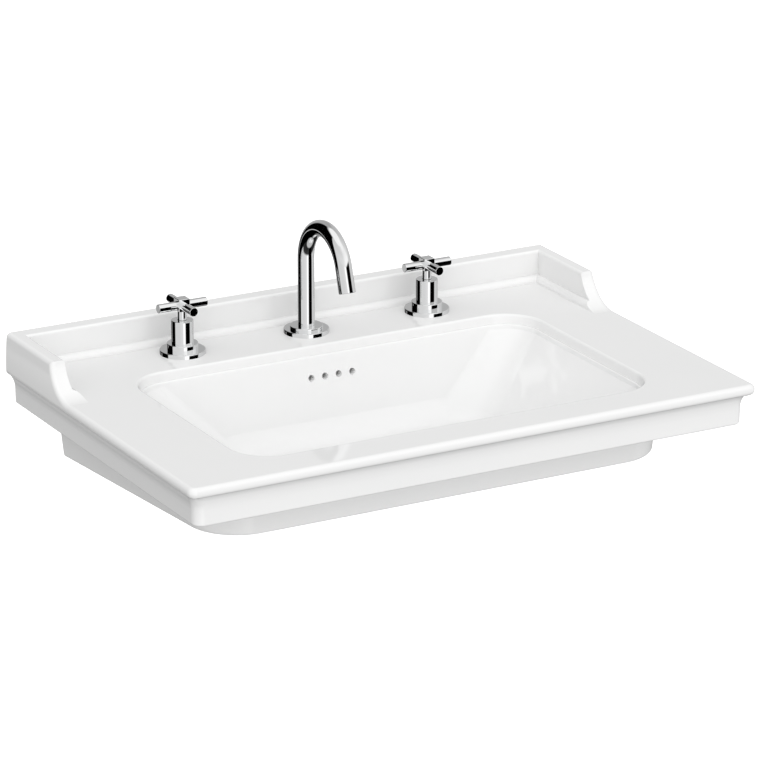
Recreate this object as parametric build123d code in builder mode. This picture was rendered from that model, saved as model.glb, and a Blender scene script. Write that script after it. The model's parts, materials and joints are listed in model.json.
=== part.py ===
from build123d import *

import math
import os

os.makedirs("parts", exist_ok=True)

# Washbasin with a three-hole mixer and a click waste.
# Origin: middle of the wall face, level with the deck.
# +X to the user's right, -Y towards the user, +Z up. All sizes in millimetres.

# ---- basin: overall ----
WIDTH = 800.0
DEPTH = 530.0
DECK_T = 14.0
CORNER_R = 10.0
ROLL_R = 6.4

# ---- basin: edge moulding, sizes measured inwards from the outermost line ----
EDGE_LIP_Z = -7.5
EDGE_TURN_X = 4.6
EDGE_TURN_Z = -14.0
EDGE_TURN_R = (EDGE_TURN_X**2 + (EDGE_TURN_Z - EDGE_LIP_Z) ** 2) / (2 * EDGE_TURN_X)
TURN_ROOT = 9.4
MOULD_CORNER_R = 25.0
EDGE_ROOT = 17.0
COVE_X = 12.0
COVE_Z = -33.0
COVE_RUN = COVE_X - EDGE_TURN_X
COVE_R = (COVE_RUN**2 + (COVE_Z - EDGE_TURN_Z) ** 2) / (2 * COVE_RUN)
FASCIA_X = 12.3
FASCIA_Z = -51.5
FASCIA_R = 3.0
SKIRT_Z = -54.5
SKIRT_INSET = 26.0
# how far pieces under the deck reach up into it
BURY = 4.0

# ---- basin: upstand along the back and down both sides ----
UP_H = 42.0
UP_T = 21.5
UP_LEN = 133.0
UP_SWEEP_R = 53.0
UP_COVE_R = 9.0
# the foot of the inner cove ends this far below the deck, so it meets the deck at a small angle
UP_SINK = 0.4
UP_LEAN = 2.6
UP_LEAN_R = ((UP_H + ROLL_R) ** 2 + UP_LEAN**2) / (2 * UP_LEAN)
WING_ROLL_R = 6.0
UP_INNER_R = 3.5

# ---- basin: bowl ----
BOWL_HALF_W = 292.0
BOWL_BACK = -122.5
BOWL_FRONT = -472.0
BOWL_R = 54.0
RIM_R = 3.5
LEDGE_Z = -12.0
FACE_INSET = 3.0
LEDGE_INSET = 6.0
LEDGE_R = 2.5
WALL_Z = -17.5
WALL_INSET = 8.0
WALL_TOP_R = 46.0
FLOOR_Z = -118.0
FLOOR_HALF_W = 192.0
FLOOR_BACK = -161.0
FLOOR_FRONT = -394.5
FLOOR_R = 60.0
FLOOR_BLEND = 38.0
SHELL_T = 8.5

# ---- basin: apron around the bowl ----
APRON_Z = -108.8
APRON_BACK_X = 356.8
APRON_FRONT_X = 322.7
APRON_BACK_Y = -70.0
APRON_FRONT_Y = -444.5
APRON_R = 68.0
APRON_BACK_R = 8.0
APRON_T = 12.0
APRON_DRAFT = 6.0
APRON_EDGE_R = 4.0
APRON_GAP_X = 292.0
APRON_GAP_D = 8.0

# ---- basin: wall plate, ribs and fixing holes ----
PLATE_X = 300.0
PLATE_T = 14.0
PLATE_Z = -120.0
BOLT_X = 140.0
BOLT_Z = -75.0
BOLT_R = 7.0
RIB_X = 108.0
RIB_T = 12.0
RIB_Z = -92.0
RIB_HOLE_R = 14.0

# ---- basin: overflow ----
OVERFLOW_XS = (-30.0, -10.0, 10.0, 30.0)
OVERFLOW_Z = -39.0
OVERFLOW_R = 4.4
CHANNEL_HALF_W = 38.0
CHANNEL_D = 9.0
CHANNEL_H = 8.0
CHANNEL_WALL = 7.0
CHANNEL_TOP = -30.0
CHANNEL_BEND = 18.0
CHANNEL_TURN = 12.0
CHANNEL_SINK = 2.0

# ---- taps ----
TAP_Y = -66.4
HANDLE_X = 180.5
TAP_HOLE_R = 17.0
FLANGE_R = 30.0
FLANGE_H = 5.5
FLANGE_EDGE_R = 1.2
COLLAR_EDGE_R = 1.0
VALVE_COLLAR_R = 20.5
VALVE_COLLAR_TOP = 14.0
SPOUT_COLLAR_R = 22.0
SPOUT_COLLAR_TOP = 9.5
RELIEF = 0.4
SEAL_R = 27.0
SEAL_INNER_R = 17.5
SEAL_T = 1.5
SHANK_R = 13.2
SHANK_TOP = 0.5
FIT = 0.05
PORT_Z = -44.0
PORT_R = 8.5
PORT_REACH = 6.0
LINK_R = 5.0
LINK_WALL = 0.8
LINK_NUT_AF = 19.0
LINK_NUT_L = 12.0
WASHER_T = 2.0
WASHER_R = 22.0
NUT_T = 10.0
NUT_AF = 36.0
NUT_CORNER = 1.2

# ---- tap columns, spindles and cross handles ----
COLUMN_R = 14.5
COLUMN_BORE = 11.0
COLUMN_TOP = 44.75
COLUMN_CAP = 3.0
COLUMN_LOW = 1.0
COLUMN_EDGE_R = 0.8
SPINDLE_R = 4.0
SPINDLE_TOP = 66.0
SPINDLE_FLAT = 3.0
FLAT_LOW = 46.5
FLAT_H = 12.0
TONGUE_W = 2.4
TONGUE_L = 7.0
TONGUE_H = 1.5
NECK_R = 5.8
NECK_Z = 45.15
HUB = 15.5
HUB_Z = 57.5
HUB_TOP = 74.0
HUB_CHAMFER = 0.5
ARM_R = 5.8
ARM_Z = 64.5
ARM_TIP = 34.5
ARM_EDGE_R = 0.5
ARM_SPIGOT_R = 2.5
ARM_SPIGOT = 2.0
GRUB_R = 1.5
GRUB_Z = 51.0
GRUB_SOCKET_AF = 1.5
GRUB_SOCKET = 1.4

# ---- valve bodies and headworks ----
VALVE_STEP_Z = -66.0
VALVE_SEAT_Z = -58.0
VALVE_END_Z = -100.0
CHAMBER_R = 10.3
INLET_R = 10.48
INLET_BORE = 6.0
SLEEVE_R = 8.0
DISC_R = 6.5
DISC_T = 3.0
DISC_LIFT = 0.5
DISC_GAP = 0.3
SLEEVE_TOP = -14.0
HEX_AF = 18.0
HEX_TOP = 9.0
GUIDE_R = 7.5
GUIDE_TOP = 36.0
WINDOW_W = 8.0
WINDOW_H = 9.0

# ---- spout ----
SPOUT_R = 11.0
SPOUT_BORE = 9.0
SPOUT_RISE = 100.75
SPOUT_BEND_R = 52.75
SPOUT_BEND = 162.9
SPOUT_TAIL = 33.6
SPOUT_END_Z = -29.5
SPIGOT_BORE = 6.5
SPIGOT_TOP = -2.0
SPOUT_RELIEF_TOP = 4.0
SPOUT_SHANK_Z = -70.0
SPOUT_PLENUM_Z = -58.0
RING_ZS = (-18.0, -10.0)
RING_R = 0.8
RING_SEAT_R = 9.4
CLIP_Z = 1.4
CLIP_T = 1.0
CLIP_SEAT_R = 10.2
CLIP_R = 12.9
CLIP_GAP = 4.0

# ---- aerator, heights measured inwards from the mouth of the spout ----
AERATOR_SEAT_R = 9.2
AERATOR_SEAT = 9.0
AERATOR_R = 9.15
AERATOR_BORE = 7.6
AERATOR_LOW = 0.6
AERATOR_TOP = 7.4
AERATOR_SEAL_TOP = 8.9
INSERT_R = 7.55
INSERT_BORE = 6.7
INSERT_LOW = 1.4
INSERT_T = 2.0
INSERT_H = 5.6
MESH_PITCH = 2.2
MESH_HOLE = 1.4

# ---- waste ----
DRAIN_Y = -263.0
DRAIN_Z = -122.0
DRAIN_HOLE_R = 23.0
DRAIN_RECESS_R = 33.0
DRAIN_SEAT_Z = -127.0
BOSS_R = 40.0
BOSS_Z = -150.0
DISH_R = 95.0
TAIL_R = 20.95
TAIL_Z = -171.0
TAIL_FREE_Z = -161.0
OUTLET_R = 20.0
PLUG_LIFT = 8.0
SEAT_TOP = DRAIN_Z - 0.3
SEAT_LOW = DRAIN_SEAT_Z + SEAL_T
TAIL_BORE = 18.5
BAR_LOW = -165.0
BAR_TOP = -158.0
BAR_W = 4.0
BAR_HUB_R = 7.0
BAR_HOLE_R = 4.5
CARTRIDGE_TOP = -139.0
CARTRIDGE_R = 6.4
STEM_LOW = -154.0
STEM_R = 3.0
PLUG_R = 29.5
PLUG_T = 4.5
PLUG_EDGE_R = 2.2
PLUG_PAD_R = 8.0
PLUG_PAD_T = 1.5
SPRING_R = 4.6
SPRING_WIRE_R = 0.5
SPRING_TURNS = 5
SPRING_END = 0.6
WASTE_SEAL_R = 35.0
WASTE_SEAL_T = 3.0
WASTE_WASHER_R = 34.0
WASTE_WASHER_T = 1.0
WASTE_NUT_AF = 58.0
WASTE_NUT_T = 7.0


def ring(outer, inner, low, high):
    """Plain ring about Z."""
    with BuildPart() as made:
        with BuildSketch(Plane.XY.offset(low)):
            Circle(outer)
            Circle(inner, mode=Mode.SUBTRACT)
        extrude(amount=high - low)
    return made.part


def hex_nut(across, inner, low, high):
    """Hexagonal nut with chamfered corners."""
    with BuildPart() as made:
        with BuildSketch(Plane.XY.offset(low)):
            RegularPolygon(across / 2, 6, major_radius=False)
            Circle(inner, mode=Mode.SUBTRACT)
        extrude(amount=high - low)
        with BuildSketch(Plane.XY.offset(low)):
            Circle(across / 2 + NUT_CORNER)
        extrude(amount=high - low, mode=Mode.INTERSECT)
    return made.part


def save(shape, label):
    """Name a sub-part and write its file."""
    shape.label = label
    export_step(shape, "parts/" + label + ".step")


# ======================================================================
# basin
# ======================================================================
def edge_path(radius):
    """Path round both sides and the front, with one corner radius."""
    with BuildLine() as made:
        FilletPolyline(
            (-WIDTH / 2, 0),
            (-WIDTH / 2, -DEPTH),
            (WIDTH / 2, -DEPTH),
            (WIDTH / 2, 0),
            radius=radius,
        )
    return made.wire()


# underside of the roll, following the same tight corner as the deck
rim = -WIDTH / 2
with BuildPart() as edge_turn:
    with BuildSketch(Plane.XZ):
        with BuildLine():
            RadiusArc((rim, EDGE_LIP_Z), (rim + EDGE_TURN_X, EDGE_TURN_Z), -EDGE_TURN_R)
            Polyline(
                (rim + EDGE_TURN_X, EDGE_TURN_Z),
                (rim + TURN_ROOT, EDGE_TURN_Z),
                (rim + TURN_ROOT, EDGE_LIP_Z),
                (rim, EDGE_LIP_Z),
            )
        make_face()
    sweep(path=edge_path(CORNER_R))

# cove and fascia under the roll, set back further at the corners
with BuildPart() as edge_cove:
    with BuildSketch(Plane.XZ):
        with BuildLine():
            RadiusArc((rim + EDGE_TURN_X, EDGE_TURN_Z), (rim + COVE_X, COVE_Z), COVE_R)
            Line((rim + COVE_X, COVE_Z), (rim + FASCIA_X, FASCIA_Z))
            RadiusArc((rim + FASCIA_X, FASCIA_Z), (rim + FASCIA_X + FASCIA_R, SKIRT_Z), -FASCIA_R)
            Polyline(
                (rim + FASCIA_X + FASCIA_R, SKIRT_Z),
                (rim + EDGE_ROOT, SKIRT_Z),
                (rim + EDGE_ROOT, EDGE_LIP_Z),
                (rim + TURN_ROOT - 1, EDGE_LIP_Z),
                (rim + TURN_ROOT - 1, EDGE_TURN_Z),
                (rim + EDGE_TURN_X, EDGE_TURN_Z),
            )
        make_face()
    sweep(path=edge_path(MOULD_CORNER_R))

up_angle = math.acos(1 - UP_H / UP_SWEEP_R)
up_foot = -UP_LEN - UP_SWEEP_R * math.sin(up_angle)
with BuildPart() as upstand:
    with BuildLine() as up_path:
        Polyline(
            (-WIDTH / 2, up_foot - 20),
            (-WIDTH / 2, 0),
            (WIDTH / 2, 0),
            (WIDTH / 2, up_foot - 20),
        )
    with BuildSketch(Plane.XZ.offset(20 - up_foot)):
        with BuildLine():
            face = -WIDTH / 2 + UP_T
            cove_foot = face + UP_COVE_R
            Polyline(
                (cove_foot, -UP_SINK),
                (cove_foot, EDGE_LIP_Z),
                (-WIDTH / 2, EDGE_LIP_Z),
                (-WIDTH / 2, UP_H),
                (face, UP_H),
                (face, UP_COVE_R - UP_SINK),
            )
            RadiusArc((face, UP_COVE_R - UP_SINK), (cove_foot, -UP_SINK), UP_COVE_R)
        make_face()
    sweep(path=up_path.wire(), transition=Transition.RIGHT)
    with BuildSketch(Plane.YZ):
        with BuildLine():
            Polyline(
                (up_foot, 0),
                (up_foot, EDGE_LIP_Z),
                (0, EDGE_LIP_Z),
                (0, UP_H),
                (-UP_LEN, UP_H),
            )
            CenterArc((up_foot, UP_SWEEP_R), UP_SWEEP_R, -90, math.degrees(up_angle))
        make_face()
    extrude(amount=WIDTH / 2, both=True, mode=Mode.INTERSECT)
    # the outer faces of the wings lean inwards as they rise, and their top edges are rounded
    with BuildSketch(Plane.XZ):
        with BuildLine():
            lean_top = WIDTH / 2 - UP_LEAN
            RadiusArc((-WIDTH / 2, -ROLL_R), (-lean_top, UP_H), UP_LEAN_R)
            Line((-lean_top, UP_H), (lean_top, UP_H))
            RadiusArc((lean_top, UP_H), (WIDTH / 2, -ROLL_R), UP_LEAN_R)
            Polyline(
                (WIDTH / 2, -ROLL_R),
                (WIDTH / 2, EDGE_LIP_Z),
                (-WIDTH / 2, EDGE_LIP_Z),
                (-WIDTH / 2, -ROLL_R),
            )
        make_face()
    extrude(amount=-up_foot + 1, mode=Mode.INTERSECT)
    wing_edges = []
    for edge in edges():
        ends = [edge.position_at(t) for t in (0, 0.5, 1)]
        outside = all(abs(p.X) > WIDTH / 2 - UP_LEAN - 0.01 for p in ends)
        along = abs(ends[0].Y - ends[2].Y) > 1
        if outside and along and min(p.Z for p in ends) > -0.01:
            wing_edges.append(edge)
    fillet(wing_edges, radius=WING_ROLL_R)

    # inner top edge of the upstand
    inner_edges = []
    for edge in edges().filter_by_position(Axis.Z, UP_H - 0.01, UP_H + 0.01):
        middle = edge.center()
        on_back = abs(middle.Y + UP_T) < 0.01 and abs(middle.X) < 1
        on_wing = abs(abs(middle.X) - (WIDTH / 2 - UP_T)) < 0.01
        if on_back or on_wing:
            inner_edges.append(edge)
    fillet(inner_edges, radius=UP_INNER_R)


# the bowl: outer shell, hollow, and the overflow channel behind it
def rounded_section(half_width, back, front, radius, height):
    """Rounded rectangle of the bowl at one height."""
    with BuildSketch(Plane.XY.offset(height)) as made:
        with Locations((0, back)):
            RectangleRounded(2 * half_width, back - front, radius, align=(Align.CENTER, Align.MAX))
    return made.sketch


wall_slope = (BOWL_BACK - WALL_INSET - FLOOR_BACK) / (WALL_Z - FLOOR_Z)


def shell_back(height):
    """Y of the outer face of the bowl's back wall at one height."""
    return BOWL_BACK - WALL_INSET + SHELL_T + (height - WALL_Z) * wall_slope


with BuildPart() as bowl_shell:
    loft(
        [
            rounded_section(
                BOWL_HALF_W - WALL_INSET + SHELL_T,
                BOWL_BACK - WALL_INSET + SHELL_T,
                BOWL_FRONT + WALL_INSET - SHELL_T,
                WALL_TOP_R + SHELL_T,
                WALL_Z,
            ),
            rounded_section(
                FLOOR_HALF_W + SHELL_T,
                FLOOR_BACK + SHELL_T,
                FLOOR_FRONT - SHELL_T,
                FLOOR_R + SHELL_T,
                FLOOR_Z - SHELL_T,
            ),
        ],
        ruled=True,
    )
    fillet(edges().group_by(Axis.Z)[0], radius=FLOOR_BLEND)
    extrude(faces().sort_by(Axis.Z)[-1], amount=-WALL_Z - BURY)

with BuildPart() as bowl_space:
    loft(
        [
            rounded_section(
                BOWL_HALF_W - WALL_INSET,
                BOWL_BACK - WALL_INSET,
                BOWL_FRONT + WALL_INSET,
                WALL_TOP_R,
                WALL_Z,
            ),
            rounded_section(FLOOR_HALF_W, FLOOR_BACK, FLOOR_FRONT, FLOOR_R, FLOOR_Z),
        ],
        ruled=True,
    )
    fillet(edges().group_by(Axis.Z)[0], radius=FLOOR_BLEND)
    loft(
        [
            rounded_section(
                BOWL_HALF_W - LEDGE_INSET,
                BOWL_BACK - LEDGE_INSET,
                BOWL_FRONT + LEDGE_INSET,
                BOWL_R - LEDGE_INSET,
                LEDGE_Z,
            ),
            rounded_section(
                BOWL_HALF_W - WALL_INSET,
                BOWL_BACK - WALL_INSET,
                BOWL_FRONT + WALL_INSET,
                WALL_TOP_R,
                WALL_Z,
            ),
        ],
        ruled=True,
    )
    loft(
        [
            rounded_section(BOWL_HALF_W, BOWL_BACK, BOWL_FRONT, BOWL_R, 0),
            rounded_section(
                BOWL_HALF_W - FACE_INSET,
                BOWL_BACK - FACE_INSET,
                BOWL_FRONT + FACE_INSET,
                BOWL_R - FACE_INSET,
                LEDGE_Z,
            ),
        ],
        ruled=True,
    )

with BuildPart() as basin:
    # deck plate with a roll round its sides and front, then the upstand and the edge moulding
    with BuildSketch():
        Rectangle(WIDTH, DEPTH, align=(Align.CENTER, Align.MAX))
        fillet(vertices().group_by(Axis.Y)[0], radius=CORNER_R)
    extrude(amount=EDGE_LIP_Z)
    roll_edges = [edge for edge in edges().group_by(Axis.Z)[-1] if edge.center().Y < -0.01]
    fillet(roll_edges, radius=ROLL_R)
    with BuildSketch(Plane.XY.offset(-DECK_T)):
        Rectangle(WIDTH - 2 * EDGE_ROOT, DEPTH - EDGE_ROOT, align=(Align.CENTER, Align.MAX))
    extrude(amount=DECK_T - BURY)
    add(upstand.part)
    add(edge_turn.part)
    add(edge_cove.part)

    # inner face of the skirt, behind the cove
    with BuildSketch(Plane.XY.offset(SKIRT_Z)):
        Rectangle(WIDTH - 2 * EDGE_ROOT, DEPTH - EDGE_ROOT, align=(Align.CENTER, Align.MAX))
        with Locations((0, -PLATE_T)):
            Rectangle(
                WIDTH - 2 * SKIRT_INSET,
                DEPTH - SKIRT_INSET - PLATE_T,
                align=(Align.CENTER, Align.MAX),
                mode=Mode.SUBTRACT,
            )
    extrude(amount=-SKIRT_Z - BURY)

    # wall plate
    with BuildSketch(Plane.XY.offset(PLATE_Z)):
        Rectangle(2 * PLATE_X, PLATE_T, align=(Align.CENTER, Align.MAX))
    extrude(amount=-PLATE_Z - BURY)

    # apron: drafted walls round the bowl, open at the back between the taps
    apron_points = (
        (-APRON_BACK_X, APRON_BACK_Y),
        (-APRON_FRONT_X, APRON_FRONT_Y),
        (APRON_FRONT_X, APRON_FRONT_Y),
        (APRON_BACK_X, APRON_BACK_Y),
    )
    with BuildSketch(Plane.XY.offset(APRON_Z)):
        with BuildLine():
            Polyline(*apron_points, close=True)
        make_face()
        fillet(vertices().group_by(Axis.Y)[0], radius=APRON_R)
        fillet(vertices().group_by(Axis.Y)[-1], radius=APRON_BACK_R)
    extrude(amount=-APRON_Z - BURY, taper=-APRON_DRAFT)
    apron_edges = [
        edge
        for edge in edges().filter_by_position(Axis.Z, APRON_Z - 0.01, APRON_Z + 0.01)
        if abs(edge.center().X) > PLATE_X + 1 or edge.center().Y < APRON_BACK_Y - 1
    ]
    fillet(apron_edges, radius=APRON_EDGE_R)
    with BuildSketch(Plane.XY.offset(APRON_Z)):
        with BuildLine():
            Polyline(*apron_points, close=True)
        make_face()
        fillet(vertices().group_by(Axis.Y)[0], radius=APRON_R)
        offset(amount=-APRON_T, kind=Kind.INTERSECTION)
    extrude(amount=-APRON_Z - DECK_T, taper=-APRON_DRAFT, mode=Mode.SUBTRACT)
    with BuildSketch(Plane.XY.offset(APRON_Z - 1)):
        with Locations((0, APRON_BACK_Y - APRON_T - APRON_GAP_D)):
            Rectangle(
                2 * APRON_GAP_X,
                -APRON_BACK_Y + APRON_T + APRON_GAP_D - PLATE_T,
                align=(Align.CENTER, Align.MIN),
            )
    extrude(amount=-APRON_Z + 1 - DECK_T, mode=Mode.SUBTRACT)

    # bowl shell and waste boss
    add(bowl_shell.part)
    with BuildSketch(Plane.XY.offset(BOSS_Z)):
        with Locations((0, DRAIN_Y)):
            Circle(BOSS_R)
    extrude(amount=FLOOR_Z - BOSS_Z - BURY)

    # overflow housing behind the bowl
    channel_low = FLOOR_Z - SHELL_T - CHANNEL_H - CHANNEL_SINK
    with BuildSketch(Plane.YZ):
        with BuildLine():
            housing_top = CHANNEL_TOP + CHANNEL_WALL
            housing_low = channel_low - CHANNEL_WALL
            Polyline(
                (shell_back(housing_top) - 4, housing_top),
                (shell_back(housing_top) + CHANNEL_D + CHANNEL_WALL, housing_top),
                (shell_back(housing_low) + CHANNEL_D + CHANNEL_WALL, housing_low),
                (DRAIN_Y + BOSS_R - 6, housing_low),
                (DRAIN_Y + BOSS_R - 6, FLOOR_Z - 4),
                (FLOOR_BACK - FLOOR_BLEND, FLOOR_Z - 4),
                (FLOOR_BACK + 4, FLOOR_Z + FLOOR_BLEND),
                close=True,
            )
        make_face()
    extrude(amount=CHANNEL_HALF_W + CHANNEL_WALL, both=True)

    # ribs from the wall plate to the bowl, holed for the link tubes
    for side in (-1, 1):
        with BuildSketch(Plane.YZ.offset(side * RIB_X - RIB_T / 2)):
            with BuildLine():
                Polyline(
                    (-PLATE_T + 1, -DECK_T + 1),
                    (shell_back(-DECK_T) - 3, -DECK_T + 1),
                    (shell_back(RIB_Z) - 3, RIB_Z),
                    (-PLATE_T + 1, RIB_Z),
                    close=True,
                )
            make_face()
            with Locations((TAP_Y, PORT_Z)):
                Circle(RIB_HOLE_R, mode=Mode.SUBTRACT)
        extrude(amount=RIB_T)

    # hollow of the bowl, with its rim edges rounded
    add(bowl_space.part, mode=Mode.SUBTRACT)
    rim_edges = []
    for edge in edges():
        middle = edge.center()
        level = edge.bounding_box()
        if level.max.Z - level.min.Z > 0.01:
            continue
        over_x = abs(middle.X) <= BOWL_HALF_W + 1
        over_y = BOWL_FRONT - 1 < middle.Y < BOWL_BACK + 1
        if over_x and over_y and abs(middle.Z) < 0.01:
            rim_edges.append(edge)
    fillet(rim_edges, radius=RIM_R)
    ledge_edges = []
    for edge in edges().filter_by_position(Axis.Z, LEDGE_Z - 0.01, LEDGE_Z + 0.01):
        box = edge.bounding_box()
        reach = max(abs(box.min.X), abs(box.max.X))
        deep = box.max.Y
        near = box.min.Y
        if reach < BOWL_HALF_W - LEDGE_INSET + 0.1:
            if deep < BOWL_BACK - LEDGE_INSET + 0.1 and near > BOWL_FRONT + LEDGE_INSET - 0.1:
                ledge_edges.append(edge)
    fillet(ledge_edges, radius=LEDGE_R)

    # dished floor, waste recess and waste hole
    with BuildSketch(Plane.XZ.offset(-DRAIN_Y)):
        with BuildLine():
            Polyline(
                (0, BOSS_Z - 1),
                (DRAIN_HOLE_R, BOSS_Z - 1),
                (DRAIN_HOLE_R, DRAIN_SEAT_Z),
                (DRAIN_RECESS_R, DRAIN_SEAT_Z),
                (DRAIN_RECESS_R, DRAIN_Z),
                (DISH_R, FLOOR_Z),
                (0, FLOOR_Z),
                close=True,
            )
        make_face()
    revolve(axis=Axis((0, DRAIN_Y, 0), (0, 0, 1)), mode=Mode.SUBTRACT)

    # overflow channel and its four holes
    with BuildSketch(Plane.YZ):
        with BuildLine():
            bend_z = FLOOR_Z + CHANNEL_BEND
            Polyline(
                (shell_back(CHANNEL_TOP), CHANNEL_TOP),
                (shell_back(CHANNEL_TOP) + CHANNEL_D, CHANNEL_TOP),
                (shell_back(channel_low) + CHANNEL_D, channel_low),
                (DRAIN_Y + DRAIN_HOLE_R - 6, channel_low),
                (DRAIN_Y + DRAIN_HOLE_R - 6, channel_low + CHANNEL_H),
                (FLOOR_BACK - CHANNEL_TURN, channel_low + CHANNEL_H),
                (shell_back(bend_z), bend_z),
                close=True,
            )
        make_face()
    extrude(amount=CHANNEL_HALF_W, both=True, mode=Mode.SUBTRACT)
    with BuildSketch(Plane.XZ.offset(-shell_back(OVERFLOW_Z) - 3)):
        with Locations(*[(x, OVERFLOW_Z) for x in OVERFLOW_XS]):
            Circle(OVERFLOW_R)
    extrude(amount=SHELL_T + 12, mode=Mode.SUBTRACT)

    # tap holes and wall fixing holes
    with BuildSketch(Plane.XY.offset(-DECK_T - 1)):
        with Locations((-HANDLE_X, TAP_Y), (0, TAP_Y), (HANDLE_X, TAP_Y)):
            Circle(TAP_HOLE_R)
    extrude(amount=DECK_T + 2, mode=Mode.SUBTRACT)
    with BuildSketch(Plane.XZ.offset(-1)):
        with Locations((-BOLT_X, BOLT_Z), (BOLT_X, BOLT_Z)):
            Circle(BOLT_R)
    extrude(amount=PLATE_T + 2, mode=Mode.SUBTRACT)
save(basin.part, "basin")


# ======================================================================
# pieces shared by the three tap holes
# ======================================================================
def tap_flange(collar_r, collar_top, bore, relief_top):
    """Round deck flange with a collar, recessed below for its seal."""
    relief_r = max(SHANK_R, bore) + RELIEF
    with BuildPart() as made:
        with BuildSketch(Plane.XZ):
            with BuildLine():
                Polyline(
                    (bore, relief_top),
                    (bore, collar_top),
                    (collar_r, collar_top),
                    (collar_r, FLANGE_H),
                    (FLANGE_R, FLANGE_H),
                    (FLANGE_R, 0),
                    (SEAL_R + 0.2, 0),
                    (SEAL_R + 0.2, SEAL_T),
                    (relief_r, SEAL_T),
                    (relief_r, relief_top),
                    close=True,
                )
            make_face()
        revolve(axis=Axis.Z)
        widest = edges().filter_by(GeomType.CIRCLE).group_by(SortBy.RADIUS)[-1]
        fillet(widest.sort_by(Axis.Z)[-1], FLANGE_EDGE_R)
        top_rims = edges().filter_by(GeomType.CIRCLE).filter_by_position(
            Axis.Z, collar_top - 0.01, collar_top + 0.01
        )
        fillet(top_rims.sort_by(SortBy.RADIUS)[-1], COLLAR_EDGE_R)
    return made.part


def save_clamp_set(prefix, x):
    """Seal, washer and locknut that clamp one tap to the deck."""
    place = Location((x, TAP_Y, 0))
    save(place * ring(SEAL_R, SEAL_INNER_R, 0, SEAL_T), prefix + "_seal")
    nut_top = -DECK_T - WASHER_T
    save(place * ring(WASHER_R, SHANK_R + 0.2, nut_top, -DECK_T), prefix + "_washer")
    save(place * hex_nut(NUT_AF, SHANK_R + FIT, nut_top - NUT_T, nut_top), prefix + "_locknut")


# ======================================================================
# hot and cold side valves
# ======================================================================
def column():
    """Tall round shroud over the headwork, closed on top but for the neck."""
    with BuildPart() as made:
        with BuildSketch(Plane.XY.offset(COLUMN_LOW)):
            Circle(COLUMN_R)
        extrude(amount=COLUMN_TOP - COLUMN_LOW)
        fillet(edges().group_by(Axis.Z)[-1], COLUMN_EDGE_R)
        with BuildSketch(Plane.XY.offset(COLUMN_LOW)):
            Circle(COLUMN_BORE)
        extrude(amount=COLUMN_TOP - COLUMN_CAP - COLUMN_LOW, mode=Mode.SUBTRACT)
        with BuildSketch(Plane.XY.offset(COLUMN_TOP - COLUMN_CAP - 1)):
            Circle(NECK_R + 0.4)
        extrude(amount=COLUMN_CAP + 2, mode=Mode.SUBTRACT)
    return made.part


def handle_hub():
    """Square hub on a round neck, bored for the spindle and the four arms."""
    with BuildPart() as made:
        with BuildSketch(Plane.XY.offset(HUB_Z)):
            Rectangle(HUB, HUB)
        extrude(amount=HUB_TOP - HUB_Z)
        chamfer(edges(), HUB_CHAMFER)
        with BuildSketch(Plane.XY.offset(NECK_Z)):
            Circle(NECK_R)
        extrude(amount=HUB_Z - NECK_Z)
        with BuildSketch(Plane.XY.offset(NECK_Z)):
            Circle(SPINDLE_R + FIT)
        extrude(amount=SPINDLE_TOP - NECK_Z + 0.3, mode=Mode.SUBTRACT)
        for turn in range(4):
            with BuildSketch(Plane.YZ.rotated((0, 0, 90 * turn)).offset(HUB / 2)):
                with Locations((0, ARM_Z)):
                    Circle(ARM_SPIGOT_R + FIT)
            extrude(amount=-ARM_SPIGOT - 0.1, mode=Mode.SUBTRACT)
        with BuildSketch(Plane.XZ):
            with Locations((0, GRUB_Z)):
                Circle(GRUB_R + FIT)
        extrude(amount=-NECK_R - 1, mode=Mode.SUBTRACT)
    return made.part


def handle_arms():
    """Four round arms with flat ends, each with a spigot in the hub."""
    with BuildPart() as made:
        for turn in range(4):
            side = Plane.YZ.rotated((0, 0, 90 * turn))
            with BuildSketch(side.offset(HUB / 2)):
                with Locations((0, ARM_Z)):
                    Circle(ARM_R)
            extrude(amount=ARM_TIP - HUB / 2)
            with BuildSketch(side.offset(HUB / 2 - ARM_SPIGOT)):
                with Locations((0, ARM_Z)):
                    Circle(ARM_SPIGOT_R)
            extrude(amount=ARM_SPIGOT)
        tips = [
            edge
            for edge in edges().filter_by(GeomType.CIRCLE)
            if max(abs(edge.arc_center.X), abs(edge.arc_center.Y)) > ARM_TIP - 0.01
        ]
        fillet(tips, ARM_EDGE_R)
    return made.part


def handle_screw():
    """Grub screw in the back of the neck, with a hexagon socket."""
    with BuildPart() as made:
        with BuildSketch(Plane.XZ.offset(-SPINDLE_FLAT - FIT)):
            with Locations((0, GRUB_Z)):
                Circle(GRUB_R)
        extrude(amount=-(NECK_R - SPINDLE_FLAT - FIT - 0.1))
        with BuildSketch(Plane.XZ.offset(-NECK_R)):
            with Locations((0, GRUB_Z)):
                RegularPolygon(GRUB_SOCKET_AF / 2, 6, major_radius=False)
        extrude(amount=GRUB_SOCKET, mode=Mode.SUBTRACT)
    return made.part


def spindle():
    """Spindle with a flat for the grub screw and a drive tongue below."""
    tongue_z = VALVE_SEAT_Z + DISC_LIFT + DISC_T + DISC_GAP + DISC_T
    with BuildPart() as made:
        with BuildSketch(Plane.XY.offset(tongue_z)):
            Circle(SPINDLE_R)
        extrude(amount=SPINDLE_TOP - tongue_z)
        with BuildSketch(Plane.XY.offset(FLAT_LOW)):
            with Locations((0, SPINDLE_FLAT)):
                Rectangle(2 * SPINDLE_R, SPINDLE_R, align=(Align.CENTER, Align.MIN))
        extrude(amount=FLAT_H, mode=Mode.SUBTRACT)
        chamfer(edges().group_by(Axis.Z)[-1], 0.6)
        with BuildSketch(Plane.XY.offset(tongue_z - TONGUE_H)):
            Rectangle(TONGUE_W, TONGUE_L)
        extrude(amount=TONGUE_H)
    return made.part


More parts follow.
